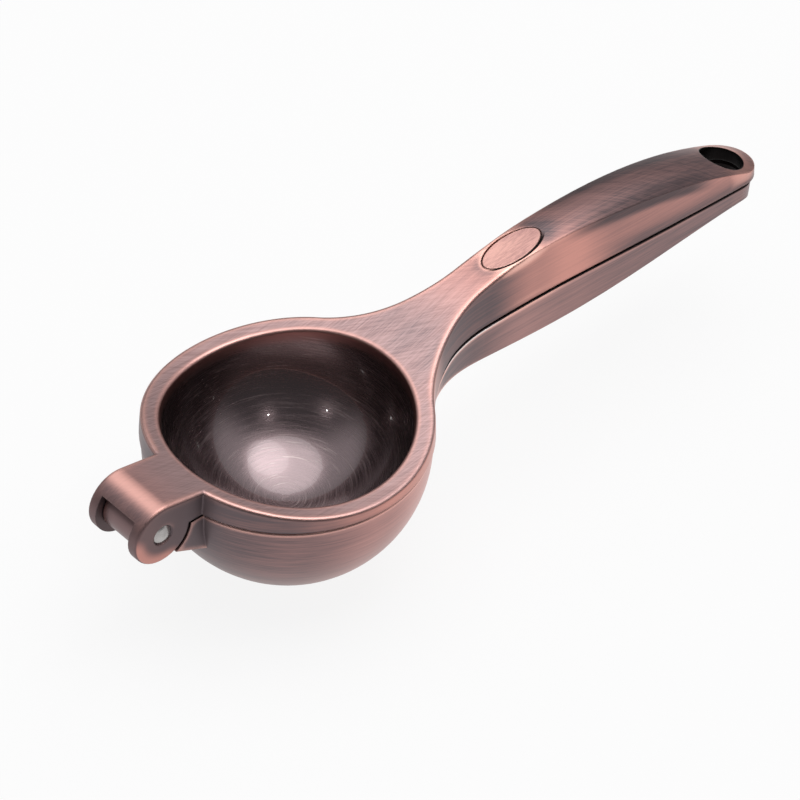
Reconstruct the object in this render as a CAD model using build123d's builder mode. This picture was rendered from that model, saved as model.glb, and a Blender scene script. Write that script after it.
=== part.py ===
# Hinged citrus press: two cast levers on one hinge pin, with an oval inlay in the upper handle.
# Millimetres. X runs from the hinge to the handle ends, Y across, Z up.
# The origin is the middle of the flat under the cup.
import math
import os

from build123d import *

# Cup of the lower lever
cup_radius = 34.9
cup_wall = 2.2
cup_band = 2.8
cup_floor = 2.5
base_flat_radius = 11.0
lip_chamfer = 0.5
drain_radius = 1.5
drain_rings = 2
drain_ring_step = 4.2
drains_per_ring = 4

# Rim and bowl of the upper lever
rim_overhang = 0.6
rim_width = 4.9
bowl_rise = 8.0
press_wall = 2.0
rim_edge_round = 0.8
bowl_edge_round = 0.9
parting_gap = 0.7
draft_angle = 3.2

# Side line of the upper lever: a dip over the bowl, then a humped handle
dip_height = 3.0
sweep_radius = 130.0
peak_run = 52.1
peak_height = 18.3
tail_radius = 154.0
crown_drop = 2.0
crown_least = 0.1
crown_fade = 0.15
crown_run = 25.1
crown_ease = 40.0

# Outline of both handles seen from above; runs are measured from the cup's wall
handle_run = 120.1
neck_run = 23.9
neck_half = 6.2
grip_inset = 29.0
grip_half = 7.8
lower_setback = 1.0

# Parting line of the handles: a rise behind the rim, then a flat arch to the handle ends
arch_lead = 1.9
arch_rise_run = 12.1
arch_run = 40.1
arch_height = 3.05
arch_radius = 950.0
below_parting = 2.0

# Underside of the lower handle
belly_run = 47.1
belly_depth = 11.8
belly_front_radius = 130.0
belly_back_radius = 300.0
belly_turn = 34.0
heel_radius = 360.0
belly_drop = 5.0
belly_least = 0.4
belly_lead = 1.1
belly_ease = 36.0

# Hollows cast into the mating faces of the handles
core_run = 31.1
core_inset = 19.0
core_wall = 2.6
core_corner = 2.2
core_ribs = 2
rib_thickness = 2.2

# Hinge
hinge_reach = 11.1
pin_rise = 1.0
pin_radius = 2.5
pin_dome = 0.7
pin_proud = 0.35
pin_seat_clearance = 0.01
pin_running_clearance = 0.05
fork_half = 8.8
ear_radius = 8.3
hood_angle = 137.0
knuckle_radius = 6.2
knuckle_half = 5.6
hinge_side_clearance = 0.3
hinge_radial_clearance = 0.5
lug_depth_at_pin = 5.0
lug_depth_at_cup = 12.4
lug_root = 3.9
bore_chamfer = 0.4

# Hang hole through both handles, and oval inlay in the upper one
hang_radius = 5.7
hang_clearance = 0.3
hang_chamfer = 0.5
hang_inset = 9.6
badge_run = 37.1
badge_length = 18.0
badge_width = 8.4
badge_thickness = 1.3
badge_gap = 0.25
badge_sink = 0.3
badge_edge = 0.2

# Reach of cuts past the metal, sideways past a handle, and sections along a handle
overrun = 5.0
touch = 0.01
upward_share = 0.5
side_overrun = 1.0
sections = 5

# Places that follow from the sizes above
rim_radius = cup_radius + rim_overhang
bowl_radius = rim_radius - rim_width
handle_end = cup_radius + handle_run
neck_x = cup_radius + neck_run
grip_x = handle_end - grip_inset
peak_x = cup_radius + peak_run
crown_start = cup_radius + crown_run
crown_full = crown_start + crown_ease
arch_start = cup_radius - arch_lead
arch_join = cup_radius + arch_rise_run
arch_x = cup_radius + arch_run
belly_x = cup_radius + belly_run
belly_start = cup_radius + belly_lead
belly_full = belly_start + belly_ease
core_start = cup_radius + core_run
core_end = handle_end - core_inset
hang_x = handle_end - hang_inset
badge_x = cup_radius + badge_run
pin_x = -cup_radius - hinge_reach
lug_root_x = lug_root - cup_radius

half_gap = parting_gap / 2
cup_height = cup_band + math.sqrt(cup_radius**2 - base_flat_radius**2)
parting = Plane.XY.offset(cup_height)
side = Plane(origin=(0, 0, cup_height), x_dir=(1, 0, 0), z_dir=(0, -1, 0))
pin_axis = (pin_x, pin_rise)

hump_rise = peak_height - dip_height
hump_radius = (peak_x**2 + hump_rise**2) / (2 * hump_rise) - sweep_radius
sweep_turn = math.degrees(math.asin(peak_x / (sweep_radius + hump_radius)))
sweep_centre = (0, dip_height + sweep_radius)
sweep_rise = dip_height + sweep_radius - pin_rise
tab_lean = math.acos((sweep_radius + ear_radius) / math.hypot(pin_x, sweep_rise))
tab_turn = 90 - math.degrees(tab_lean + math.atan2(sweep_rise, -pin_x))
tab_end_x = pin_x + ear_radius * math.sin(math.radians(tab_turn))
dome_radius = bowl_radius + press_wall
dome_turn = math.degrees(math.acos((bowl_rise - half_gap) / dome_radius))
base_turn = math.degrees(math.asin(base_flat_radius / cup_radius))
floor_turn = math.degrees(math.acos((cup_height - cup_floor - cup_band) / (cup_radius - cup_wall)))
heel_sine = belly_turn / belly_back_radius
heel_turn = math.degrees(math.asin(heel_sine))
heel_x = belly_x + belly_turn
heel_depth = belly_depth - belly_back_radius + math.sqrt(belly_back_radius**2 - belly_turn**2)
heel_centre_x = heel_x + heel_radius * heel_sine
heel_centre_depth = heel_depth + heel_radius * math.cos(math.radians(heel_turn))
belly_front_turn = math.degrees(math.acos(1 - (belly_depth - half_gap) / belly_front_radius))


def top_height(x):
    # Height of the handle's middle line above the parting plane, from the hump on
    radius = hump_radius if x < peak_x else tail_radius
    return peak_height - radius + math.sqrt(radius**2 - (x - peak_x) ** 2)


def flare_radius(rim):
    # Radius of the arc from a rim to the neck
    return (neck_x**2 + neck_half**2 - rim**2) / (2 * (rim - neck_half))


def half_width(x):
    # Half the handle's width at the parting plane, near enough for what follows it
    if x < neck_x:
        flare = flare_radius(cup_radius)
        return neck_half + flare - math.sqrt(flare**2 - (neck_x - x) ** 2)
    run = min((x - neck_x) / (grip_x - neck_x), 1)
    return neck_half + (grip_half - neck_half) * math.sin(run * math.pi / 2) ** 2


def belly_height(x):
    # Depth of the lower handle's middle line below the parting plane
    if x < belly_x:
        return belly_depth - belly_front_radius + math.sqrt(belly_front_radius**2 - (x - belly_x) ** 2)
    if x < heel_x:
        return belly_depth - belly_back_radius + math.sqrt(belly_back_radius**2 - (x - belly_x) ** 2)
    return heel_centre_depth - math.sqrt(heel_radius**2 - (x - heel_centre_x) ** 2)


def ease(x, start, end):
    run = min(max((x - start) / (end - start), 0), 1)
    return run * run * (3 - 2 * run)


def lever_plan(rim, nose_x):
    # Rim circle, flared neck, grip and round nose, all in tangent arcs
    flare = flare_radius(rim)
    flare_angle = math.degrees(math.atan2(neck_half + flare, neck_x))
    half_run = (grip_x - neck_x) / 2
    half_rise = (grip_half - neck_half) / 2
    grip = (half_run**2 + half_rise**2) / (2 * half_rise)
    grip_turn = math.degrees(math.asin(half_run / grip))
    grip_run = nose_x - grip_x
    grip_drop = grip - grip_half
    nose = (grip**2 - grip_run**2 - grip_drop**2) / (2 * (grip - grip_run))
    nose_angle = math.degrees(math.atan2(grip_drop, grip_run - nose))
    with BuildSketch() as plan:
        with BuildLine():
            CenterArc((0, 0), rim, flare_angle, 180 - flare_angle)
            CenterArc((neck_x, neck_half + flare), flare, 180 + flare_angle, 90 - flare_angle)
            CenterArc((neck_x, neck_half + grip), grip, 270, grip_turn)
            CenterArc((grip_x, -grip_drop), grip, nose_angle, 90 + grip_turn - nose_angle)
            CenterArc((nose_x - nose, 0), nose, 0, nose_angle)
            mirror(about=Plane.XZ)
        make_face()
    return plan.sketch


def parting_side(lift, far):
    # Side view of what lies between the parting line, raised by lift, and height far
    arch_centre = (arch_x, arch_height + lift - arch_radius)
    join_turn = math.asin((arch_x - arch_join) / arch_radius)
    end_turn = math.asin((handle_end + overrun - arch_x) / arch_radius)
    with BuildSketch() as outline:
        with BuildLine():
            arch = CenterArc(
                arch_centre,
                arch_radius,
                90 - math.degrees(end_turn),
                math.degrees(join_turn + end_turn),
            )
            Spline(
                (arch_start, lift),
                arch @ 1,
                tangents=[(1, 0), (math.cos(join_turn), math.sin(join_turn))],
            )
            Polyline(
                (arch_start, lift),
                (pin_x - overrun, lift),
                (pin_x - overrun, far),
                ((arch @ 0).X, far),
                arch @ 0,
            )
        make_face()
    return outline.sketch


def tab_end(lift):
    # Where the tab's straight top, lowered by lift, meets the round of the hinge end
    turn = math.radians(tab_turn)
    reach = ear_radius - lift
    return (pin_x + reach * math.sin(turn), pin_rise + reach * math.cos(turn))


def press_side(lift, end_x, floor):
    # Side view of the upper lever between height floor and its top line, lowered by lift
    tab = tab_end(lift)
    tail_turn = math.degrees(math.asin((end_x - peak_x) / (tail_radius - lift)))
    with BuildSketch() as outline:
        with BuildLine():
            sweep = CenterArc(
                sweep_centre, sweep_radius + lift, 270 - tab_turn, tab_turn + sweep_turn
            )
            CenterArc((peak_x, peak_height - hump_radius), hump_radius - lift, 90, sweep_turn)
            tail = CenterArc(
                (peak_x, peak_height - tail_radius), tail_radius - lift, 90 - tail_turn, tail_turn
            )
            Polyline(sweep @ 0, tab, (tab[0], floor), ((tail @ 0).X, floor), tail @ 0)
        make_face()
    return outline.sketch


def belly_side(lift, ceiling):
    # Side view of the lower handle between its underside, raised by lift, and height ceiling
    end_sine = (handle_end + overrun - heel_centre_x) / (heel_radius + lift)
    end_turn = math.degrees(math.asin(end_sine))
    with BuildSketch() as outline:
        with BuildLine():
            front = CenterArc(
                (belly_x, belly_front_radius - belly_depth),
                belly_front_radius - lift,
                270 - belly_front_turn,
                belly_front_turn,
            )
            CenterArc((belly_x, belly_back_radius - belly_depth), belly_back_radius - lift, 270, heel_turn)
            heel = CenterArc(
                (heel_centre_x, -heel_centre_depth),
                heel_radius + lift,
                90 - end_turn,
                heel_turn + end_turn,
            )
            Polyline(front @ 0, ((front @ 0).X, ceiling), ((heel @ 0).X, ceiling), heel @ 0)
        make_face()
    return outline.sketch


def core_plan():
    # Hollow in a handle, seen from above
    start_half = half_width(core_start) - core_wall
    end_half = half_width(core_end) - core_wall
    with BuildSketch() as plan:
        with BuildLine():
            Polyline(
                (core_start, -start_half),
                (core_end, -end_half),
                (core_end, end_half),
                (core_start, start_half),
                close=True,
            )
        make_face()
        fillet(plan.vertices(), core_corner)
    return plan.sketch


def rib_plan():
    # Ribs left standing across the hollow, seen from above
    rib_step = (core_end - core_start) / (core_ribs + 1)
    with BuildSketch() as plan:
        for rib in range(1, core_ribs + 1):
            with Locations((core_start + rib * rib_step, 0)):
                Rectangle(rib_thickness, 2 * grip_half)
    return plan.sketch


def across(x):
    # Plane across the handles at x, with its first axis along Y and its second up
    return Plane(origin=(x, 0, cup_height), x_dir=(0, 1, 0), z_dir=(1, 0, 0))


def arched_section(x, middle, drop, cover):
    # Closed outline between an arch over the handle and a level line at height cover
    reach = half_width(x) + side_overrun
    edge = middle - math.copysign(drop, cover)
    with BuildSketch() as section:
        with BuildLine():
            ThreePointArc((-reach, edge), (0, middle), (reach, edge))
            Polyline((reach, edge), (reach, cover), (-reach, cover), (-reach, edge))
        make_face()
    return section.sketch


def stations(start, end):
    return [start + (end - start) * index / sections for index in range(sections + 1)]


# Face of the inlay, square to the handle's back at its middle
badge_tilt = math.asin((peak_x - badge_x) / hump_radius)
badge_face = Plane(
    origin=(badge_x, 0, cup_height + top_height(badge_x) - badge_sink),
    x_dir=(math.cos(badge_tilt), 0, math.sin(badge_tilt)),
    z_dir=(-math.sin(badge_tilt), 0, math.cos(badge_tilt)),
)

# Metal taken off the upper handle to leave its crowned back
with BuildPart() as crown_cut:
    for x in stations(crown_start, handle_end + overrun):
        drop = crown_least + crown_drop * ease(x, crown_start, crown_full)
        fade = crown_fade * (1 - 2 * ease(x, crown_start, peak_x))
        with BuildSketch(across(x)):
            add(arched_section(x, top_height(x) + fade, drop, peak_height + overrun))
    loft()

# Hollow of the upper handle, in bays between ribs
with BuildPart() as press_core:
    with BuildSketch(parting.offset(-below_parting)):
        add(core_plan())
    extrude(amount=peak_height + overrun, taper=draft_angle)
    with BuildSketch(side):
        add(press_side(core_wall + crown_drop / 2, handle_end + overrun, -peak_height))
    extrude(amount=rim_radius, both=True, mode=Mode.INTERSECT)
    with BuildSketch(parting.offset(-below_parting)):
        add(rib_plan())
    extrude(amount=peak_height + overrun, mode=Mode.SUBTRACT)

# Upper lever: rim, neck and handle in one casting
with BuildPart() as press_lever:
    with BuildSketch(parting.offset(-below_parting)):
        add(lever_plan(rim_radius, handle_end))
    extrude(amount=peak_height + overrun, taper=draft_angle)
    with BuildSketch(side):
        add(press_side(0, handle_end + overrun, -peak_height))
    extrude(amount=rim_radius + overrun, both=True, mode=Mode.INTERSECT)
    with BuildSketch(side):
        add(parting_side(half_gap, -peak_height))
    extrude(amount=rim_radius + overrun, both=True, mode=Mode.SUBTRACT)
    # Tab from the rim to the hinge
    with BuildSketch(side):
        with BuildLine():
            tab = CenterArc(sweep_centre, sweep_radius, 270 - tab_turn, tab_turn)
            Polyline(tab @ 0, tab_end(0), (tab_end_x, half_gap), (0, half_gap), tab @ 1)
        make_face()
    extrude(amount=fork_half, both=True)
    # Hinge end: the hood and the ears share one round outline
    with BuildSketch(side):
        with Locations(pin_axis):
            Circle(ear_radius)
    extrude(amount=fork_half, both=True)
    # Rounded outer edge, round the rim, the neck, the handle and the ears
    back_faces = faces().filter_by(
        lambda face: face.center().X > tab_end_x
        and face.normal_at(face.center()).Z > upward_share
    )
    back_edges = back_faces.edges().filter_by(
        lambda edge: edge.geom_type != GeomType.LINE or abs(edge.center().Y) > touch
    )
    ear_edges = edges().filter_by(
        lambda edge: abs(abs(edge.center().Y) - fork_half) < touch
        and edge.center().X < tab_end_x
    )
    fillet(back_edges + ear_edges, rim_edge_round)
    add(crown_cut.part, mode=Mode.SUBTRACT)
    # Dome below the rim, hollowed by the bowl
    with BuildSketch(side):
        with BuildLine():
            dome = CenterArc((0, bowl_rise), dome_radius, 270, dome_turn)
            Polyline(dome @ 1, (0, half_gap), dome @ 0)
        make_face()
    revolve(axis=Axis.Z)
    with BuildSketch(side):
        with BuildLine():
            bowl = CenterArc((0, bowl_rise), bowl_radius, 270, 90)
            Polyline(bowl @ 1, (bowl_radius, peak_height), (0, peak_height), bowl @ 0)
        make_face()
    revolve(axis=Axis.Z, mode=Mode.SUBTRACT)
    bowl_face = faces().filter_by(GeomType.SPHERE).sort_by(Axis.Z)[-1]
    bowl_edge = bowl_face.edges().filter_by(lambda edge: edge.geom_type != GeomType.CIRCLE)
    fillet(bowl_edge, bowl_edge_round)
    # Room for the knuckle between the ears, open below the hood
    slot_right = pin_x + ear_radius + hinge_radial_clearance
    slot_reach = ear_radius + overrun
    hood_run = math.radians(hood_angle)
    slot_left = pin_x + slot_reach * math.cos(hood_run)
    with BuildSketch(side):
        with Locations(pin_axis):
            Circle(knuckle_radius + hinge_radial_clearance)
        with BuildLine():
            Polyline(
                pin_axis,
                (slot_left, pin_rise + slot_reach * math.sin(hood_run)),
                (slot_left, -slot_reach),
                (slot_right, -slot_reach),
                (slot_right, half_gap),
                (pin_x, half_gap),
                close=True,
            )
        make_face()
    extrude(amount=knuckle_half + hinge_side_clearance, both=True, mode=Mode.SUBTRACT)
    with BuildSketch(side):
        with Locations(pin_axis):
            Circle(pin_radius + pin_seat_clearance)
    extrude(amount=fork_half + overrun, both=True, mode=Mode.SUBTRACT)
    bore_edges = edges().filter_by(GeomType.CIRCLE).filter_by(
        lambda edge: abs(edge.radius - pin_radius - pin_seat_clearance) < touch
        and abs(abs(edge.center().Y) - fork_half) < touch
    )
    chamfer(bore_edges, bore_chamfer)
    # Hang hole, hollow handle and seat of the inlay
    with BuildSketch(parting):
        with Locations((hang_x, 0)):
            Circle(hang_radius)
    extrude(amount=peak_height + overrun, mode=Mode.SUBTRACT)
    add(press_core.part, mode=Mode.SUBTRACT)
    with BuildSketch(badge_face.offset(-badge_thickness)):
        Ellipse(badge_length / 2 + badge_gap, badge_width / 2 + badge_gap)
    extrude(amount=badge_thickness + overrun, mode=Mode.SUBTRACT)
press_lever.part.label = "press_lever"

# Oval inlay, left plain
with BuildPart() as handle_badge:
    with BuildSketch(badge_face.offset(-badge_thickness)):
        Ellipse(badge_length / 2, badge_width / 2)
    extrude(amount=badge_thickness)
    chamfer(faces().sort_by(Axis.Z)[-1].edges(), badge_edge)
handle_badge.part.label = "handle_badge"

# Metal taken off the lower handle to leave its rounded belly
with BuildPart() as belly_cut:
    for x in stations(belly_start, handle_end + overrun):
        drop = belly_least + belly_drop * ease(x, belly_start, belly_full)
        with BuildSketch(across(x)):
            add(arched_section(x, -belly_height(x), drop, -belly_depth - overrun))
    loft()

# Neck and handle of the lower lever, before the cup joins them
with BuildPart() as lower_handle:
    with BuildSketch(-parting.offset(arch_height)):
        add(lever_plan(cup_radius, handle_end - lower_setback))
    extrude(amount=arch_height + belly_depth + overrun, taper=draft_angle)
    with BuildSketch(side):
        add(belly_side(0, belly_depth))
    extrude(amount=cup_radius + overrun, both=True, mode=Mode.INTERSECT)
    with BuildSketch(side):
        add(parting_side(-half_gap, peak_height))
    extrude(amount=cup_radius + overrun, both=True, mode=Mode.SUBTRACT)
    add(belly_cut.part, mode=Mode.SUBTRACT)

# Hollow of the lower handle
with BuildPart() as lower_core:
    with BuildSketch(-parting.offset(arch_height)):
        add(core_plan())
    extrude(amount=arch_height + belly_depth + overrun, taper=draft_angle)
    with BuildSketch(side):
        add(belly_side(core_wall, belly_depth))
    extrude(amount=cup_radius, both=True, mode=Mode.INTERSECT)
    with BuildSketch(-parting.offset(arch_height)):
        add(rib_plan())
    extrude(amount=arch_height + belly_depth + overrun, mode=Mode.SUBTRACT)

# Lower lever: cup, hinge lug with its knuckle, and handle in one casting
with BuildPart() as cup_lever:
    with BuildSketch(side):
        with BuildLine():
            shell = CenterArc((0, -cup_band), cup_radius, 270 + base_turn, 90 - base_turn)
            Polyline(
                shell @ 1,
                (cup_radius, -half_gap),
                (0, -half_gap),
                (0, -cup_height),
                shell @ 0,
            )
        make_face()
        chamfer(vertices().group_by(Axis.Y)[-1].sort_by(Axis.X)[-1], lip_chamfer)
    revolve(axis=Axis.Z)
    add(lower_handle.part)
    # Lug on the cup, cut clear of the ears, and the knuckle between them
    with BuildSketch(side):
        with BuildLine():
            Polyline(
                (pin_x, -half_gap),
                (lug_root_x, -half_gap),
                (lug_root_x, -lug_depth_at_cup),
                (pin_x, -lug_depth_at_pin),
                close=True,
            )
        make_face()
    extrude(amount=fork_half, both=True)
    with BuildSketch(side):
        with Locations(pin_axis):
            Circle(ear_radius + hinge_radial_clearance)
    extrude(amount=fork_half + overrun, both=True, mode=Mode.SUBTRACT)
    with BuildSketch(side):
        with Locations(pin_axis):
            Circle(knuckle_radius)
        with BuildLine():
            Polyline(
                (pin_x, -half_gap),
                (lug_root_x, -half_gap),
                (lug_root_x, -lug_depth_at_cup),
                (pin_x, -lug_depth_at_pin),
                close=True,
            )
        make_face()
    extrude(amount=knuckle_half, both=True)
    # Inside of the cup
    with BuildSketch(side):
        with BuildLine():
            inner = CenterArc((0, -cup_band), cup_radius - cup_wall, 270 + floor_turn, 90 - floor_turn)
            Polyline(
                inner @ 1,
                (cup_radius - cup_wall, overrun),
                (0, overrun),
                (0, cup_floor - cup_height),
                inner @ 0,
            )
        make_face()
    revolve(axis=Axis.Z, mode=Mode.SUBTRACT)
    with BuildSketch(side):
        with Locations(pin_axis):
            Circle(pin_radius + pin_running_clearance)
    extrude(amount=fork_half + overrun, both=True, mode=Mode.SUBTRACT)
    add(lower_core.part, mode=Mode.SUBTRACT)
    with BuildSketch(parting.offset(-cup_height)):
        with Locations((hang_x, 0)):
            Circle(hang_radius + hang_clearance)
    extrude(amount=cup_height + peak_height, mode=Mode.SUBTRACT)
    hole_rims = edges(Select.LAST).filter_by(GeomType.LINE, reverse=True)
    chamfer(hole_rims.group_by(Axis.Z)[-1], length=hang_chamfer)
    # Drain holes in rings round the middle of the floor
    with BuildSketch(Plane.XY.offset(-overrun)):
        for ring in range(1, drain_rings + 1):
            with PolarLocations(ring * drain_ring_step, ring * drains_per_ring):
                Circle(drain_radius)
    extrude(amount=cup_height, mode=Mode.SUBTRACT)
cup_lever.part.label = "cup_lever"

# Hinge pin with a domed end in each ear
pin_half = fork_half + pin_proud
pin_straight = pin_half - pin_dome
dome_ball = (pin_radius**2 + pin_dome**2) / (2 * pin_dome)
dome_angle = math.degrees(math.asin(pin_radius / dome_ball))
pin_plane = Plane(origin=(pin_x, 0, cup_height + pin_rise), x_dir=(0, 1, 0), z_dir=(1, 0, 0))
with BuildPart() as hinge_pin:
    with BuildSketch(pin_plane):
        with BuildLine():
            CenterArc((pin_half - dome_ball, 0), dome_ball, 0, dome_angle)
            Line((pin_straight, pin_radius), (-pin_straight, pin_radius))
            CenterArc((dome_ball - pin_half, 0), dome_ball, 180 - dome_angle, dome_angle)
            Line((-pin_half, 0), (pin_half, 0))
        make_face()
    revolve(axis=Axis(pin_plane.origin, pin_plane.x_dir))
hinge_pin.part.label = "hinge_pin"

os.makedirs("parts", exist_ok=True)
for piece in (press_lever, handle_badge, cup_lever, hinge_pin):
    export_step(piece.part, f"parts/{piece.part.label}.step")
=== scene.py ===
import math

import bpy
from mathutils import Matrix, Vector


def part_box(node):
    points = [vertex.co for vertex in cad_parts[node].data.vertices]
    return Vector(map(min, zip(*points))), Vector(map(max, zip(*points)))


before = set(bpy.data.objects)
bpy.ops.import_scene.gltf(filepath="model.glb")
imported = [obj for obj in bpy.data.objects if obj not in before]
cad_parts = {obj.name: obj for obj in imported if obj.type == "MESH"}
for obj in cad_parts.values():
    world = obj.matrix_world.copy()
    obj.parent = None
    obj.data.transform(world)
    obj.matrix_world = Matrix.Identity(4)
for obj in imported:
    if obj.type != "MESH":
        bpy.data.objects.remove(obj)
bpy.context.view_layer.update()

scene = bpy.context.scene
scene.view_settings.view_transform = "Standard"
noiseMean = 0.5
mmPerMetre = 1000
print("frame loaded:", sorted(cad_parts))


# small helpers for node trees
def put(tree, kind, **values):
    node = tree.nodes.new(kind)
    for name, value in values.items():
        setattr(node, name, value)
    return node


def feed(tree, socket, value):
    if isinstance(value, bpy.types.NodeSocket):
        tree.links.new(value, socket)
    elif value is not None:
        socket.default_value = value


def calc(tree, operation, *values, clamp=False):
    node = put(tree, "ShaderNodeMath", operation=operation, use_clamp=clamp)
    for socket, value in zip(node.inputs, values):
        feed(tree, socket, value)
    return node.outputs[0]


def plus(tree, first, second, clamp=False):
    return calc(tree, "ADD", first, second, clamp=clamp)


def minus(tree, first, second, clamp=False):
    return calc(tree, "SUBTRACT", first, second, clamp=clamp)


def times(tree, first, *others):
    for other in others:
        first = calc(tree, "MULTIPLY", first, other)
    return first


def larger(tree, first, second):
    return calc(tree, "MAXIMUM", first, second)


def absolute(tree, value):
    return calc(tree, "ABSOLUTE", value)


def remainder(tree, share):
    # what a share leaves of one
    return calc(tree, "SUBTRACT", 1.0, share)


def squared(tree, value):
    return calc(tree, "MULTIPLY", value, value)


def diagonal(tree, first, second):
    return calc(tree, "SQRT", plus(tree, squared(tree, first), squared(tree, second)))


def arched(tree, x, middle, top, radius):
    # height of a shallow arch
    fall = calc(tree, "DIVIDE", squared(tree, minus(tree, x, middle)), 2 * radius)
    return minus(tree, top, fall)


def ramp(tree, value, low, high, outLow=0.0, outHigh=1.0, smooth=True):
    node = put(tree, "ShaderNodeMapRange")
    node.interpolation_type = "SMOOTHSTEP" if smooth else "LINEAR"
    feed(tree, node.inputs["Value"], value)
    feed(tree, node.inputs["From Min"], low)
    feed(tree, node.inputs["From Max"], high)
    feed(tree, node.inputs["To Min"], outLow)
    feed(tree, node.inputs["To Max"], outHigh)
    return node.outputs["Result"]


# a mix node's sockets for each kind of value: two in and one out
mixSockets = {"RGBA": (6, 7, 2), "FLOAT": (2, 3, 0)}


def blend(tree, kind, share, first, second):
    node = put(tree, "ShaderNodeMix", data_type=kind)
    low, high, result = mixSockets[kind]
    feed(tree, node.inputs[0], share)
    feed(tree, node.inputs[low], first)
    feed(tree, node.inputs[high], second)
    return node.outputs[result]


def blendColor(tree, share, first, second):
    return blend(tree, "RGBA", share, first, second)


def blendValue(tree, share, first, second):
    return blend(tree, "FLOAT", share, first, second)


def apart(tree, vector):
    node = put(tree, "ShaderNodeSeparateXYZ")
    feed(tree, node.inputs[0], vector)
    return node.outputs["X"], node.outputs["Y"], node.outputs["Z"]


def noise(tree, vector, detail, rough):
    node = put(tree, "ShaderNodeTexNoise")
    feed(tree, node.inputs["Vector"], vector)
    feed(tree, node.inputs["Scale"], 1.0)
    feed(tree, node.inputs["Detail"], detail)
    feed(tree, node.inputs["Roughness"], rough)
    return node.outputs["Fac"]


def grain(tree, vector, scale, detail, rough, turn=0.0):
    # stretched noise, turned about Z before it is scaled
    if turn:
        spun = put(tree, "ShaderNodeMapping")
        feed(tree, spun.inputs["Vector"], vector)
        spun.inputs["Rotation"].default_value = (0, 0, math.radians(turn))
        vector = spun.outputs["Vector"]
    node = put(tree, "ShaderNodeMapping")
    feed(tree, node.inputs["Vector"], vector)
    node.inputs["Scale"].default_value = scale
    return noise(tree, node.outputs["Vector"], detail, rough)


def stops(tree, value, low, high, pairs):
    # grey levels at places along a length, in millimetres
    node = put(tree, "ShaderNodeValToRGB")
    node.color_ramp.interpolation = "EASE"
    spots = node.color_ramp.elements
    while len(spots) < len(pairs):
        spots.new(0.5)
    for spot, (place, level) in zip(spots, pairs):
        spot.position = (place - low) / (high - low)
        spot.color = (level, level, level, 1)
    share = ramp(tree, value, low / mmPerMetre, high / mmPerMetre, smooth=False)
    feed(tree, node.inputs["Fac"], share)
    return node.outputs["Color"]


def newGroup(name, inputs, outputs):
    tree = bpy.data.node_groups.new(name, "ShaderNodeTree")
    for kind, label, value in inputs:
        socket = tree.interface.new_socket(label, in_out="INPUT", socket_type="NodeSocket" + kind)
        if value is not None:
            socket.default_value = value
    for kind, label in outputs:
        tree.interface.new_socket(label, in_out="OUTPUT", socket_type="NodeSocket" + kind)
    start = put(tree, "NodeGroupInput")
    end = put(tree, "NodeGroupOutput")
    return tree, start.outputs, end.inputs


def useGroup(tree, group, **values):
    node = put(tree, "ShaderNodeGroup")
    node.node_tree = group
    for socket in node.inputs:
        key = socket.name[0].lower() + socket.name[1:].replace(" ", "")
        if key in values:
            feed(tree, socket, values[key])
    return node.outputs


# camera, from the photograph's rim, bowl and parting line
cameraSet = {
    "azimuth": 43.886, "elevation": 42.927, "roll": -2.462,
    "distance": 1.13793, "right": 0.026759, "up": 0.007267,
    "lens": 215.253, "sensor": 36, "clip": (0.05, 50), "aim": Vector((0, 0, 0.035921)),
}


def makeCamera(s):
    az, el, roll = (math.radians(s[k]) for k in ("azimuth", "elevation", "roll"))
    ahead = Vector((math.sin(az), math.cos(az), 0))
    right = Vector((math.cos(az), -math.sin(az), 0))
    toEye = -math.cos(el) * ahead + Vector((0, 0, math.sin(el)))
    up = math.sin(el) * ahead + Vector((0, 0, math.cos(el)))
    sideways = math.cos(roll) * right - math.sin(roll) * up
    upright = math.sin(roll) * right + math.cos(roll) * up
    data = bpy.data.cameras.new("camera")
    data.lens = s["lens"]
    data.sensor_width = s["sensor"]
    data.clip_start, data.clip_end = s["clip"]
    camera = bpy.data.objects.new("camera", data)
    turn = Matrix((sideways, upright, toEye)).transposed().to_4x4()
    spot = s["aim"] + s["right"] * sideways + s["up"] * upright + s["distance"] * toEye
    camera.matrix_world = Matrix.Translation(spot) @ turn
    scene.collection.objects.link(camera)
    scene.camera = camera


makeCamera(cameraSet)
print("camera placed")

# floor, world and lamps
stageSet = {
    "floorRadius": 3.0, "floorCorners": 96, "floorDrop": 0.0002,
    "floorColor": (0.9, 0.9, 0.9, 1), "floorWhite": 0.88,
    "worldBright": (0.63, 0.63, 0.645, 1), "worldDark": (0.12, 0.12, 0.125, 1),
    "awayFromEye": Vector((0.693, 0.721, 0)), "awayRange": (-0.5, 0.05), "aboveRange": (0.08, 0.6),
    "lamps": {
        "overhead": {"at": (0.16, 0.13, 1.1), "aim": (0.02, 0, 0.03), "size": 1.25, "watts": 6.0},
        "corner": {"at": (0.28, -0.15, 1.1), "aim": (0.02, 0, 0.03), "size": 0.7, "watts": 1.5},
    },
    "sparks": {
        "sparkLeft": {"at": (-0.2, -0.77, 0.94), "radius": 0.016, "watts": 0.7},
        "sparkRight": {"at": (-0.96, -0.02, 0.75), "radius": 0.016, "watts": 0.7},
    },
}


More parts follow.
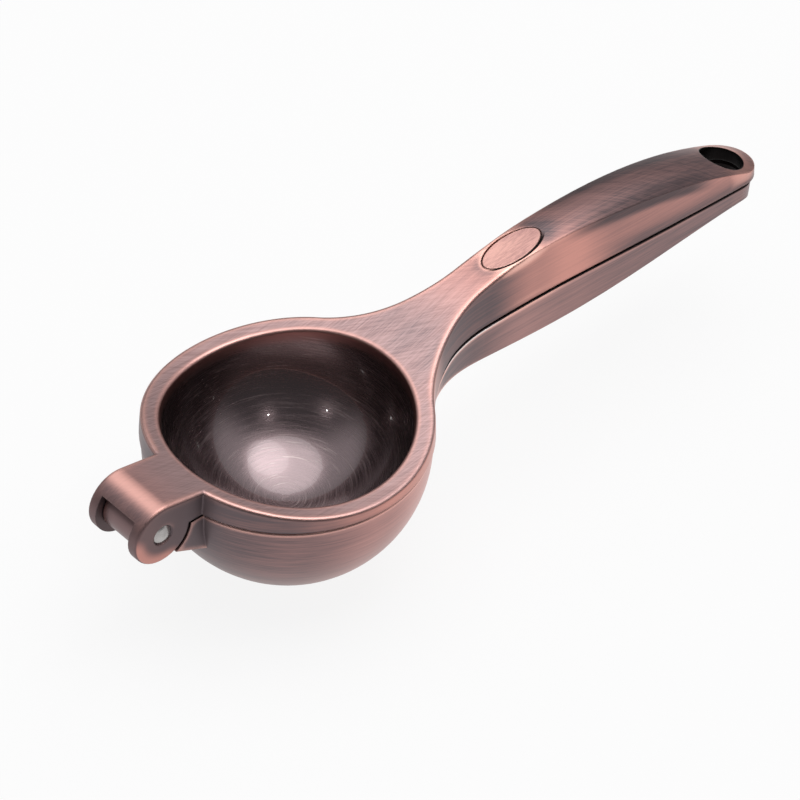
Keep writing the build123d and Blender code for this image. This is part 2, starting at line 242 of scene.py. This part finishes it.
def makeFloor(s):
    bpy.ops.mesh.primitive_circle_add(
        vertices=s["floorCorners"], radius=s["floorRadius"], fill_type="NGON")
    floor = bpy.context.object
    floor.name = "floor"
    floor.location.z = -s["floorDrop"]
    material = bpy.data.materials.new("pale_floor")
    material.use_nodes = True
    tree = material.node_tree
    tree.nodes.clear()
    light = put(tree, "ShaderNodeLightPath")
    seen = larger(tree, light.outputs["Is Camera Ray"], light.outputs["Is Glossy Ray"])
    seen = larger(tree, seen, light.outputs["Is Transmission Ray"])
    matte = put(tree, "ShaderNodeBsdfDiffuse")
    matte.inputs["Color"].default_value = s["floorColor"]
    white = put(tree, "ShaderNodeEmission")
    mixed = put(tree, "ShaderNodeMixShader")
    feed(tree, mixed.inputs[0], times(tree, seen, s["floorWhite"]))
    feed(tree, mixed.inputs[1], matte.outputs[0])
    feed(tree, mixed.inputs[2], white.outputs[0])
    end = put(tree, "ShaderNodeOutputMaterial")
    feed(tree, end.inputs["Surface"], mixed.outputs[0])
    floor.data.materials.append(material)


def makeWorld(s):
    # bright above and behind the part, dark on the camera's side
    world = bpy.data.worlds.new("studio")
    scene.world = world
    world.use_nodes = True
    tree = world.node_tree
    tree.nodes.clear()
    spot = put(tree, "ShaderNodeTexCoord").outputs["Generated"]
    along = put(tree, "ShaderNodeVectorMath", operation="DOT_PRODUCT")
    feed(tree, along.inputs[0], spot)
    along.inputs[1].default_value = s["awayFromEye"]
    away = ramp(tree, along.outputs["Value"], *s["awayRange"])
    above = ramp(tree, apart(tree, spot)[2], *s["aboveRange"])
    color = blendColor(tree, times(tree, away, above), s["worldDark"], s["worldBright"])
    back = put(tree, "ShaderNodeBackground")
    feed(tree, back.inputs["Color"], color)
    end = put(tree, "ShaderNodeOutputWorld")
    feed(tree, end.inputs["Surface"], back.outputs[0])


def makeLamp(name, s):
    data = bpy.data.lights.new(name, "AREA")
    data.shape = "DISK"
    data.size = s["size"]
    data.energy = s["watts"]
    lamp = bpy.data.objects.new(name, data)
    lamp.location = s["at"]
    lamp.rotation_euler = (Vector(s["aim"]) - lamp.location).to_track_quat("-Z", "Y").to_euler()
    scene.collection.objects.link(lamp)


def makeSpark(name, s):
    data = bpy.data.lights.new(name, "POINT")
    data.shadow_soft_size = s["radius"]
    data.energy = s["watts"]
    lamp = bpy.data.objects.new(name, data)
    lamp.location = s["at"]
    scene.collection.objects.link(lamp)


makeFloor(stageSet)
makeWorld(stageSet)
for lampName, lampSet in stageSet["lamps"].items():
    makeLamp(lampName, lampSet)
for sparkName, sparkSet in stageSet["sparks"].items():
    makeSpark(sparkName, sparkSet)
print("floor, world and lamps made")

# shared effects; a range lists two limits in, and two out where they aren't 0 and 1
edgeSet = {"bevelRays": 4, "rays": 8, "rub": (0.93, 0.5), "hollow": (0.95, 0.45)}


def makeRubbedEdges(s):
    # Rub is high on edges that stand out, Hollow where the metal is sheltered
    tree, given, out = newGroup(
        "rubbedEdges",
        [("Float", "Edge Width", 0.002), ("Float", "Round", 0.0005), ("Float", "Shelter", 0.01)],
        [("Float", "Rub"), ("Float", "Hollow"), ("Vector", "Normal")],
    )
    soft = put(tree, "ShaderNodeBevel", samples=s["bevelRays"])
    feed(tree, soft.inputs["Radius"], given["Round"])
    occlusion = "ShaderNodeAmbientOcclusion"
    within = put(tree, occlusion, samples=s["rays"], only_local=True, inside=True)
    feed(tree, within.inputs["Distance"], given["Edge Width"])
    around = put(tree, occlusion, samples=s["rays"], only_local=True)
    feed(tree, around.inputs["Distance"], given["Shelter"])
    feed(tree, out["Rub"], ramp(tree, within.outputs["AO"], *s["rub"]))
    feed(tree, out["Hollow"], ramp(tree, around.outputs["AO"], *s["hollow"]))
    feed(tree, out["Normal"], soft.outputs["Normal"])
    return tree


brushSet = {
    "fineTop": {"scale": (50, 2600, 500), "detail": 4.0, "rough": 0.7},
    "crossTop": {"scale": (32, 1800, 400), "turn": 38, "detail": 3.0, "rough": 0.7},
    "fineSide": {"scale": (70, 70, 2600), "detail": 4.0, "rough": 0.7},
    "wideTop": {"scale": (22, 300, 100), "detail": 3.0, "rough": 0.6},
    "wideSide": {"scale": (16, 16, 420), "detail": 3.0, "rough": 0.6},
    "crossShare": 0.45, "fineCalm": 0.6, "wideCalm": 0.45,
    "top": (0.45, 0.8), "upward": (0.35, 0.75), "level": (0.88, 0.97), "sideways": (0.6, 0.9),
}


def makeBrushLines(s):
    # straight brushing with crossing lines on tops, calmer level lines round the sides
    tree, given, out = newGroup(
        "brushLines",
        [("Vector", "Place", None), ("Vector", "Facing", None)],
        [("Float", "Lines"), ("Float", "Streaks"), ("Float", "Upward"), ("Float", "Level"),
         ("Float", "Sideways")],
    )
    across, up = apart(tree, given["Facing"])[1:]
    tilt = absolute(tree, up)
    top = ramp(tree, tilt, *s["top"])
    fineTop, crossTop, fineSide, wideTop, wideSide = (
        grain(tree, given["Place"], **s[k])
        for k in ("fineTop", "crossTop", "fineSide", "wideTop", "wideSide"))
    fineTop = blendValue(tree, s["crossShare"], fineTop, crossTop)
    fineSide = blendValue(tree, s["fineCalm"], fineSide, noiseMean)
    wideSide = blendValue(tree, s["wideCalm"], wideSide, noiseMean)
    feed(tree, out["Lines"], blendValue(tree, top, fineSide, fineTop))
    feed(tree, out["Streaks"], blendValue(tree, top, wideSide, wideTop))
    feed(tree, out["Upward"], ramp(tree, up, *s["upward"]))
    feed(tree, out["Level"], ramp(tree, tilt, *s["level"]))
    feed(tree, out["Sideways"], ramp(tree, absolute(tree, across), *s["sideways"]))
    return tree


plateSet = {
    "streaks": (0.25, 0.75, -0.07, 0.07), "lines": (0.34, 0.66, -0.19, 0.19),
    "hollowLoss": 0.6, "rubGain": 0.7, "wornPower": 1.5,
    "oxideRough": 0.4, "copperRough": 0.3, "lineRough": (0.3, 0.7, -0.04, 0.06),
}


def makeAntiquePlate(s):
    # dark oxide under rubbed copper, brightest where edges are worn
    tree, given, out = newGroup(
        "antiquePlate",
        [("Color", "Copper", (0.5, 0.27, 0.22, 1)), ("Color", "Oxide", (0.1, 0.075, 0.075, 1)),
         ("Color", "Worn", (0.8, 0.43, 0.33, 1)), ("Float", "Bare", 0.6), ("Float", "Rub", 0.0),
         ("Float", "Hollow", 0.0), ("Float", "Lines", 0.5), ("Float", "Streaks", 0.5)],
        [("Color", "Color"), ("Float", "Roughness"), ("Float", "Height")],
    )
    shown = plus(tree, given["Bare"], ramp(tree, given["Streaks"], *s["streaks"]))
    shown = plus(tree, shown, ramp(tree, given["Lines"], *s["lines"]))
    shown = minus(tree, shown, times(tree, given["Hollow"], s["hollowLoss"]))
    shown = plus(tree, shown, times(tree, given["Rub"], s["rubGain"]), clamp=True)
    color = blendColor(tree, shown, given["Oxide"], given["Copper"])
    worn = calc(tree, "POWER", given["Rub"], s["wornPower"])
    rough = blendValue(tree, shown, s["oxideRough"], s["copperRough"])
    feed(tree, out["Color"], blendColor(tree, worn, color, given["Worn"]))
    feed(tree, out["Roughness"], plus(tree, rough, ramp(tree, given["Lines"], *s["lineRough"])))
    feed(tree, out["Height"], given["Lines"])
    return tree


rubbedEdges = makeRubbedEdges(edgeSet)
brushLines = makeBrushLines(brushSet)
antiquePlate = makeAntiquePlate(plateSet)
print("shared effects made")


# finishes
def newMaterial(name):
    material = bpy.data.materials.new(name)
    material.use_nodes = True
    tree = material.node_tree
    shader = tree.nodes["Principled BSDF"]
    shader.inputs["Metallic"].default_value = 1
    spot = put(tree, "ShaderNodeTexCoord")
    return material, tree, shader.inputs, spot.outputs


def bumped(tree, height, normal, s):
    node = put(tree, "ShaderNodeBump")
    node.inputs["Strength"].default_value = s["bumpStrength"]
    node.inputs["Distance"].default_value = s["bumpDepth"]
    feed(tree, node.inputs["Height"], height)
    feed(tree, node.inputs["Normal"], normal)
    return node.outputs["Normal"]


def wear(node, material):
    node.data.materials.clear()
    node.data.materials.append(material)


# both castings; span in millimetres, the rest in metres
castingSet = {
    "oxide": (0.13, 0.1, 0.107, 1), "worn": (0.88, 0.51, 0.43, 1),
    # painted shade: the near-black colour below, in the hang hole, beside the gap and along the
    # inlay's near side; the dark grey beside it is oxide and painted gap shade
    "hidden": (0.01, 0.008, 0.008, 1), "mating": (0.075, 0.058, 0.06, 1),
    # painted shade: the dark red colour below, along the back's outer edges; the pale pink beside
    # it is brushing haze and painted sheen
    "smoke": (0.07, 0.04, 0.04, 1), "frost": (0.6, 0.49, 0.497, 1),
    # painted highlight: the near-white colour below is a glint on the lip
    "polished": (0.95, 0.88, 0.86, 1),
    "round": 0.0006, "shelter": 0.012, "bumpStrength": 0.3, "bumpDepth": 0.00002,
    "span": (-60, 160), "brushFrom": (-0.036, -0.03), "hingeBrush": 0.5,
    "seamZ": 0.035921, "archFrom": (0.033, 0.047),
    "archX": 0.075, "archRise": 0.00305, "archRadius": 0.95,
    "matingNear": (0.0022, 0.0016), "hangX": 0.1454, "holeBlend": 0.00005,
}


def readCasting(tree, spot, s, p):
    # place, wear, brushing and height off the parting line, which is level under the rim
    # and arched along the handles
    edges = useGroup(
        tree, rubbedEdges, edgeWidth=p["edgeWidth"], round=s["round"], shelter=s["shelter"])
    brush = useGroup(tree, brushLines, place=spot["Object"], facing=spot["Normal"])
    x, y, z = apart(tree, spot["Object"])
    arch = arched(tree, x, s["archX"], s["archRise"], s["archRadius"])
    seam = plus(tree, s["seamZ"], times(tree, arch, ramp(tree, x, *s["archFrom"])))
    # the hinge is smoother than the rest
    onHinge = times(tree, brush["Upward"], s["hingeBrush"])
    brushed = larger(tree, ramp(tree, x, *s["brushFrom"]), onHinge)
    return {
        "tree": tree, "x": x, "y": y, "z": z, "offSeam": minus(tree, z, seam),
        "rub": edges["Rub"], "hollow": edges["Hollow"], "normal": edges["Normal"],
        "upward": brush["Upward"], "level": brush["Level"], "sideways": brush["Sideways"],
        "lines": blendValue(tree, brushed, noiseMean, brush["Lines"]),
        "streaks": blendValue(tree, brushed, noiseMean, brush["Streaks"]),
    }


def matingFaces(c, s, p):
    # faces that meet when closed
    tree, off = c["tree"], c["offSeam"]
    near = ramp(tree, absolute(tree, off), *s["matingNear"])
    return times(tree, ramp(tree, off, *p["matingRise"]), c["level"], near)


def platedMetal(c, s, p, bare, rub, hollow):
    return useGroup(
        c["tree"], antiquePlate, copper=p["copper"], oxide=s["oxide"], worn=s["worn"],
        bare=bare, rub=rub, hollow=hollow, lines=c["lines"], streaks=c["streaks"])


def darkSpots(c, s, p, color, mating):
    # painted shade: the hang hole is painted near-black; the mating faces are dark, partly oxide
    # and partly the painted shade of the closed gap
    tree = c["tree"]
    color = blendColor(tree, mating, color, s["mating"])
    fromHole = diagonal(tree, minus(tree, c["x"], s["hangX"]), c["y"])
    inHole = ramp(tree, fromHole, p["hole"] + p["holeEdge"], p["hole"] + s["holeBlend"])
    return blendColor(tree, inHole, color, s["hidden"])


# lower casting: wear along its length, then its edges, a painted reflection on the flank, a painted
# glint on the lip, painted shadow beside the gap and painted shade in the hang hole
cupSet = {
    "copper": (0.69, 0.352, 0.312, 1), "edgeWidth": 0.002,
    "sides": [
        (-60, 0.14), (-44, 0.12), (-36, 0.03), (-20, 0.2), (0, 0.52), (16, 0.82), (30, 1.0),
        (40, 0.12), (54, 0.12), (72, 0.4), (86, 0.32), (104, 0.2), (130, 0.17), (155, 0.17),
    ],
    "rubHandle": (0.074, 0.092, 1.0, 0.35), "rubHinge": (-0.036, -0.03, 0.35, 1.0),
    "rubEnd": (0.125, 0.14, 1.0, 0.2),
    "flankFrom": (0.016, 0.034, 0.0, 0.55), "flankTo": (0.036, 0.043, 1.0, 0.0),
    "matingRise": (-0.0016, -0.001),
    "shineFrom": (0.04, 0.046), "shineTo": (0.068, 0.058), "lipRise": (-0.0012, -0.0004),
    "gapRise": (-0.0009, -0.0003), "gapFrom": (0.096, 0.112, 0.0, 0.85),
    "hole": 0.006, "holeEdge": 0.0012,
}


def makeCupCasting(s, p):
    material, tree, shader, spot = newMaterial("cup_casting")
    c = readCasting(tree, spot, s, p)
    x, off = c["x"], c["offSeam"]
    bare = stops(tree, x, *s["span"], p["sides"])
    # the lip shines round the cup and along the neck, and less on the handle and the hinge
    rub = times(tree, c["rub"], ramp(tree, x, *p["rubHandle"]), ramp(tree, x, *p["rubHinge"]),
                ramp(tree, x, *p["rubEnd"]))
    # painted reflection: the cup's flank takes worn colour on its way to the neck, standing in for
    # a bright reflection
    flank = times(tree, ramp(tree, x, *p["flankFrom"]), ramp(tree, x, *p["flankTo"]))
    mating = matingFaces(c, s, p)
    rub = times(tree, larger(tree, rub, flank), remainder(tree, mating))
    plate = platedMetal(c, s, p, bare, rub, c["hollow"])
    # painted highlight: a near-white glint on the lip along the neck; painted shadow: the lip is
    # dark beside the gap further back
    glint = times(tree, ramp(tree, x, *p["shineFrom"]), ramp(tree, x, *p["shineTo"]),
                  ramp(tree, off, *p["lipRise"]), rub)
    color = blendColor(tree, glint, plate["Color"], s["polished"])
    gap = times(tree, ramp(tree, off, *p["gapRise"]), ramp(tree, x, *p["gapFrom"]))
    color = blendColor(tree, gap, color, s["hidden"])
    feed(tree, shader["Base Color"], darkSpots(c, s, p, color, mating))
    feed(tree, shader["Roughness"], plate["Roughness"])
    feed(tree, shader["Normal"], bumped(tree, plate["Height"], c["normal"], s))
    return material


# upper casting: wear along its length, then inlay with a painted shadow, the back with painted
# shade, ears, handle sides with painted shade, edges, and haze with painted sheen
badgeLow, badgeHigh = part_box("handle_badge")
pressSet = {
    "copper": (0.62, 0.292, 0.246, 1), "edgeWidth": 0.0026,
    "tops": [
        (-60, 0.06), (-51, 0.26), (-44, 0.42), (-25, 0.4), (0, 0.46), (26, 0.4), (39, 0.3),
        (54, 0.66), (78, 0.66), (92, 0.36), (108, 0.28), (140, 0.28), (155, 0.5),
    ],
    "sides": [
        (-60, 0.1), (-50, 0.1), (-44, 0.04), (-24, 0.04), (-16, 0.22), (-8, 0.5), (2, 0.85),
        (29, 1.0), (36, 0.5), (42, 0.08), (60, 0.05), (76, 0.7), (87, 1.0), (103, 0.5),
        (130, 0.58), (155, 0.66),
    ],
    "badgeX": (badgeLow[0] + badgeHigh[0]) / 2, "badgeHalf": (0.0092, 0.0044),
    "haloReach": (1.9, 1.0), "haloBehind": (0.001, 0.01), "haloDark": 0.6,
    "closeReach": (1.4, 1.05, 0.0, 0.36),
    "grimeReach": (1.1, 1.07), "grimeSide": (-0.001, -0.0028),
    "flankWide": (0.002, 0.0062), "flankFrom": (0.084, 0.1), "flankTo": (0.143, 0.125),
    "flankDark": 0.22, "smokeShare": 0.42,
    "pinX": -0.046, "pinZ": 0.036921, "earLean": (0.6, 0.8),
    "earReach": (0.0042, 0.0072), "earLow": (0.0015, 0.0052, 0.0, 0.75),
    "earOuter": (0.007, 0.008), "earFrom": (-0.0365, -0.039), "innerDark": 0.6,
    "creaseX": 0.0834, "creaseZ": 0.0531, "creaseRadius": 0.1607,
    "creaseBelow": (0.0036, 0.0012), "creaseTo": (0.138, 0.126), "creaseDark": 0.55,
    "shadeFrom": (0.082, 0.094), "gapRise": (0.0055, 0.0008), "gapFrom": (0.094, 0.112, 0.0, 0.45),
    "rubRise": (0.0008, 0.0024), "rubBack": (0.076, 0.09, 1.0, 0.1),
    "rubEnd": (0.136, 0.148, 0.0, 0.5), "rubHinge": (-0.049, -0.045, 0.2, 1.0),
    "rubSides": (0.056, 0.074, 0.2, 1.0), "mouthRub": 0.42,
    "hoodFrom": (-0.0345, -0.0365), "hoodWide": (0.0074, 0.006),
    "crestFrom": (-0.0508, -0.0476), "crestTo": (-0.0432, -0.0462, 0.0, 0.5),
    "crestRise": (0.042, 0.0432),
    "dullFrom": (-0.014, 0.004), "dullTo": (0.035, 0.027), "dullSide": (-0.012, -0.022, 0.0, 0.55),
    "matingRise": (0.0016, 0.001),
    "hazeFrom": (0.064, 0.042, 0.1, 0.31), "hazeHinge": (-0.045, -0.034, 0.4, 1.0),
    "hazeLines": (0.34, 0.66, 0.5, 1.5), "hingeSatin": (-0.036, -0.042, 0.0, 0.1),
    "hole": 0.0057, "holeEdge": 0.0003,
}
# bowl in the upper casting
bowlSet = {
    "centre": Vector((0, 0, 0.043921)), "radius": 0.0306, "sweepRadius": 0.13, "rimZ": 0.038921,
    "skin": (0.0009, 0.0004), "edge": (0.0016, 0.0006),
    "mouthBare": 0.5, "mouthFade": (0.0008, 0.0042),
    "wall": (0.14, 0.1, 0.098, 1), "floor": (0.236, 0.174, 0.18, 1), "wallTurn": (0.7, 1.3),
    "lineSpacing": 1700, "lineStretch": 75.0, "lineDetail": 5.0, "lineRough": 0.75,
    "scratch": (0.46, 0.37, 0.36, 1), "scratchFrom": (0.56, 0.74),
    "rough": 0.24, "roughLines": (0.3, 0.7, -0.06, 0.1), "coatRough": 0.025, "bumpGain": 2.0,
}


def inlayMarks(c, p):
    # dark halo close round the inlay and wider behind it, and a painted shadow of the inlay's edge
    # along its near side
    tree = c["tree"]
    aside = minus(tree, c["x"], p["badgeX"])
    halfLong, halfWide = p["badgeHalf"]
    oval = diagonal(
        tree, calc(tree, "DIVIDE", aside, halfLong), calc(tree, "DIVIDE", c["y"], halfWide))
    halo = times(tree, ramp(tree, oval, *p["haloReach"]), ramp(tree, aside, *p["haloBehind"]))
    close = ramp(tree, oval, *p["closeReach"])
    inlayShadow = times(tree, ramp(tree, oval, *p["grimeReach"]), ramp(tree, c["y"], *p["grimeSide"]))
    return halo, close, inlayShadow


def earMarks(c, p):
    # ears worn round the lower ends of their outer faces; the inner faces stay dark
    tree, x, z = c["tree"], c["x"], c["z"]
    fromPin = diagonal(tree, minus(tree, x, p["pinX"]), minus(tree, z, p["pinZ"]))
    ahead = times(tree, minus(tree, p["pinX"], x), p["earLean"][0])
    down = times(tree, minus(tree, p["pinZ"], z), p["earLean"][1])
    outward = ramp(tree, absolute(tree, c["y"]), *p["earOuter"])
    onEar = times(tree, c["sideways"], ramp(tree, x, *p["earFrom"]))
    worn = times(tree, ramp(tree, fromPin, *p["earReach"]),
                 ramp(tree, plus(tree, ahead, down), *p["earLow"]), onEar, outward)
    return worn, times(tree, onEar, remainder(tree, outward))


def handleShade(c, p):
    # painted shade: the handle's sides darken under the crease and towards the gap
    tree, x = c["tree"], c["x"]
    crease = arched(tree, x, p["creaseX"], p["creaseZ"], p["creaseRadius"])
    under = times(tree, ramp(tree, minus(tree, crease, c["z"]), *p["creaseBelow"]),
                  ramp(tree, x, *p["creaseTo"]))
    low = times(tree, ramp(tree, c["offSeam"], *p["gapRise"]), ramp(tree, x, *p["gapFrom"]))
    both = plus(tree, times(tree, under, p["creaseDark"]), low)
    return under, times(tree, both, ramp(tree, x, *p["shadeFrom"]))


def pressRub(c, p, halo, mouthEdge):
    tree, x, y, upward = c["tree"], c["x"], c["y"], c["upward"]
    # no wear on the lower edge beside the gap, and little where the back meets the sides
    along = larger(tree, ramp(tree, x, *p["rubBack"]), ramp(tree, x, *p["rubEnd"]))
    # the thin hood would read as one wide edge, so only its crest is worn; this worn crest also
    # paints the crest's highlight
    hood = times(tree, ramp(tree, x, *p["hoodFrom"]), ramp(tree, absolute(tree, y), *p["hoodWide"]))
    rub = times(tree, c["rub"], ramp(tree, c["offSeam"], *p["rubRise"]), along,
                remainder(tree, halo), ramp(tree, x, *p["rubHinge"]), remainder(tree, hood))
    crest = times(tree, ramp(tree, x, *p["crestFrom"]), ramp(tree, x, *p["crestTo"]),
                  ramp(tree, c["z"], *p["crestRise"]), upward)
    # the rim's outer edge is duller at the near side, and its inner edge is worn all round
    dull = times(tree, ramp(tree, x, *p["dullFrom"]), ramp(tree, x, *p["dullTo"]),
                 ramp(tree, y, *p["dullSide"]))
    sides = larger(tree, upward, ramp(tree, x, *p["rubSides"]))
    rub = times(tree, larger(tree, rub, crest), remainder(tree, dull), sides)
    return larger(tree, rub, times(tree, mouthEdge, upward, p["mouthRub"]))


def pressMetal(c, s, p, b, mouth, mouthEdge):
    tree, x, upward = c["tree"], c["x"], c["upward"]
    halo, close, inlayShadow = inlayMarks(c, p)
    earWorn, earInner = earMarks(c, p)
    under, shade = handleShade(c, p)
    # painted shade: the back is darker along its outer edges, where its crown turns away from the
    # light
    flank = times(tree, ramp(tree, absolute(tree, c["y"]), *p["flankWide"]),
                  ramp(tree, x, *p["flankFrom"]), ramp(tree, x, *p["flankTo"]))
    top = stops(tree, x, *s["span"], p["tops"])
    top = minus(tree, top, larger(tree, times(tree, halo, p["haloDark"]), close))
    top = minus(tree, top, times(tree, flank, p["flankDark"]), clamp=True)
    bare = plus(tree, stops(tree, x, *s["span"], p["sides"]), earWorn)
    bare = blendValue(tree, upward, minus(tree, bare, shade, clamp=True), top)
    # the mouth of the bowl is rubbed bare
    bare = blendValue(tree, mouth, bare, b["mouthBare"])
    hollow = blendValue(tree, mouth, c["hollow"], 0.0)
    mating = matingFaces(c, s, p)
    rub = times(tree, pressRub(c, p, halo, mouthEdge), remainder(tree, mating))
    plate = platedMetal(c, s, p, bare, rub, hollow)
    # brushing leaves a pale haze, most on the rim and the neck; kept to upward faces, it is also a
    # painted sheen of the lit tops
    hazeSheen = times(tree, ramp(tree, x, *p["hazeFrom"]), ramp(tree, x, *p["hazeHinge"]),
                 ramp(tree, c["lines"], *p["hazeLines"]), upward, remainder(tree, rub))
    color = blendColor(tree, hazeSheen, plate["Color"], s["frost"])
    # painted shadow along the inlay's near side
    color = blendColor(tree, inlayShadow, color, s["hidden"])
    color = blendColor(tree, times(tree, earInner, p["innerDark"]), color, s["mating"])
    # painted shade along the back's outer edges
    flankShading = times(tree, flank, larger(tree, upward, under), p["smokeShare"])
    color = blendColor(tree, flankShading, color, s["smoke"])
    return plate, darkSpots(c, s, p, color, mating)


def makePressCasting(s, p, b):
    material, tree, shader, spot = newMaterial("press_casting")
    c = readCasting(tree, spot, s, p)
    local = put(tree, "ShaderNodeVectorMath", operation="SUBTRACT")
    feed(tree, local.inputs[0], spot["Object"])
    local.inputs[1].default_value = b["centre"]
    length = put(tree, "ShaderNodeVectorMath", operation="LENGTH")
    feed(tree, length.inputs[0], local.outputs[0])
    span = length.outputs["Value"]
    hollowed, mouthEdge = (
        ramp(tree, span, *(b["radius"] + reach for reach in b[k])) for k in ("skin", "edge"))
    plate, color = pressMetal(c, s, p, b, hollowed, mouthEdge)
    # inside of the bowl: dark, lacquered, with circular brushing, copper again at its mouth
    rise = calc(tree, "SQRT", minus(tree, b["sweepRadius"] ** 2, squared(tree, c["x"])))
    mouth = plus(tree, minus(tree, b["sweepRadius"], rise), b["rimZ"])
    inside = times(tree, hollowed, ramp(tree, minus(tree, mouth, c["z"]), *b["mouthFade"]))
    east, north, up = apart(tree, local.outputs[0])
    turn = calc(tree, "ARCTAN2", diagonal(tree, east, north), times(tree, up, -1.0))
    ring = put(tree, "ShaderNodeCombineXYZ")
    feed(tree, ring.inputs["X"], times(tree, turn, b["radius"] * b["lineSpacing"]))
    feed(tree, ring.inputs["Y"], times(tree, east, b["lineStretch"]))
    feed(tree, ring.inputs["Z"], times(tree, north, b["lineStretch"]))
    circles = noise(tree, ring.outputs[0], b["lineDetail"], b["lineRough"])
    bowlColor = blendColor(tree, ramp(tree, turn, *b["wallTurn"]), b["floor"], b["wall"])
    bowlColor = blendColor(tree, ramp(tree, circles, *b["scratchFrom"]), bowlColor, b["scratch"])
    bowlRough = plus(tree, ramp(tree, circles, *b["roughLines"]), b["rough"])
    # the hinge end is more satin
    satin = plus(tree, plate["Roughness"], ramp(tree, c["x"], *p["hingeSatin"]))
    height = blendValue(tree, inside, plate["Height"], times(tree, circles, b["bumpGain"]))
    feed(tree, shader["Base Color"], blendColor(tree, inside, color, bowlColor))
    feed(tree, shader["Roughness"], blendValue(tree, inside, satin, bowlRough))
    feed(tree, shader["Coat Weight"], inside)
    shader["Coat Roughness"].default_value = b["coatRough"]
    feed(tree, shader["Normal"], bumped(tree, height, c["normal"], s))
    return material


badgeSet = {
    "copper": (0.7, 0.4, 0.345, 1), "shade": (0.42, 0.232, 0.215, 1), "worn": (0.8, 0.5, 0.42, 1),
    "grain": {"scale": (150, 3000, 3000), "detail": 4.0, "rough": 0.65}, "grainShare": 0.6,
    "tint": {"scale": (60, 160, 100), "detail": 2.0, "rough": 0.5}, "tintShare": 0.4,
    "edgeWidth": 0.0005, "round": 0.0002, "shelter": 0.001,
    "fade": (0.2, -0.25), "shown": (0.35, 0.65), "rough": (0.3, 0.7, 0.32, 0.4),
    "bumpStrength": 0.25, "bumpDepth": 0.00001,
}


def makeBadgePlate(s):
    material, tree, shader, spot = newMaterial("badge_plate")
    lines = grain(tree, spot["Object"], **s["grain"])
    tint = grain(tree, spot["Object"], **s["tint"])
    edges = useGroup(
        tree, rubbedEdges, edgeWidth=s["edgeWidth"], round=s["round"], shelter=s["shelter"])
    mixed = plus(tree, times(tree, lines, s["grainShare"]), times(tree, tint, s["tintShare"]))
    x = apart(tree, spot["Object"])[0]
    # painted light: the badge is lighter at its left end and shaded towards its right
    fade = ramp(tree, x, badgeLow[0], badgeHigh[0], *s["fade"])
    shown = plus(tree, ramp(tree, mixed, *s["shown"]), fade, clamp=True)
    satin = blendColor(tree, shown, s["shade"], s["copper"])
    feed(tree, shader["Base Color"], blendColor(tree, edges["Rub"], satin, s["worn"]))
    feed(tree, shader["Roughness"], ramp(tree, lines, *s["rough"]))
    feed(tree, shader["Normal"], bumped(tree, lines, edges["Normal"], s))
    return material


pinSet = {
    "steel": (0.46, 0.44, 0.43, 1), "dull": (0.33, 0.31, 0.305, 1),
    "grain": {"scale": (260, 120, 260), "detail": 2.0, "rough": 0.5},
    "shown": (0.3, 0.7), "rough": (0.3, 0.7, 0.2, 0.3),
    "bumpStrength": 0.15, "bumpDepth": 0.00001,
}


def makePinSteel(s):
    material, tree, shader, spot = newMaterial("pin_steel")
    lines = grain(tree, spot["Object"], **s["grain"])
    color = blendColor(tree, ramp(tree, lines, *s["shown"]), s["dull"], s["steel"])
    feed(tree, shader["Base Color"], color)
    feed(tree, shader["Roughness"], ramp(tree, lines, *s["rough"]))
    feed(tree, shader["Normal"], bumped(tree, lines, None, s))
    return material


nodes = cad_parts
wear(nodes["cup_lever"], makeCupCasting(castingSet, cupSet))
wear(nodes["press_lever"], makePressCasting(castingSet, pressSet, bowlSet))
wear(nodes["handle_badge"], makeBadgePlate(badgeSet))
wear(nodes["hinge_pin"], makePinSteel(pinSet))
print("finishes on:", ", ".join(sorted(nodes)))
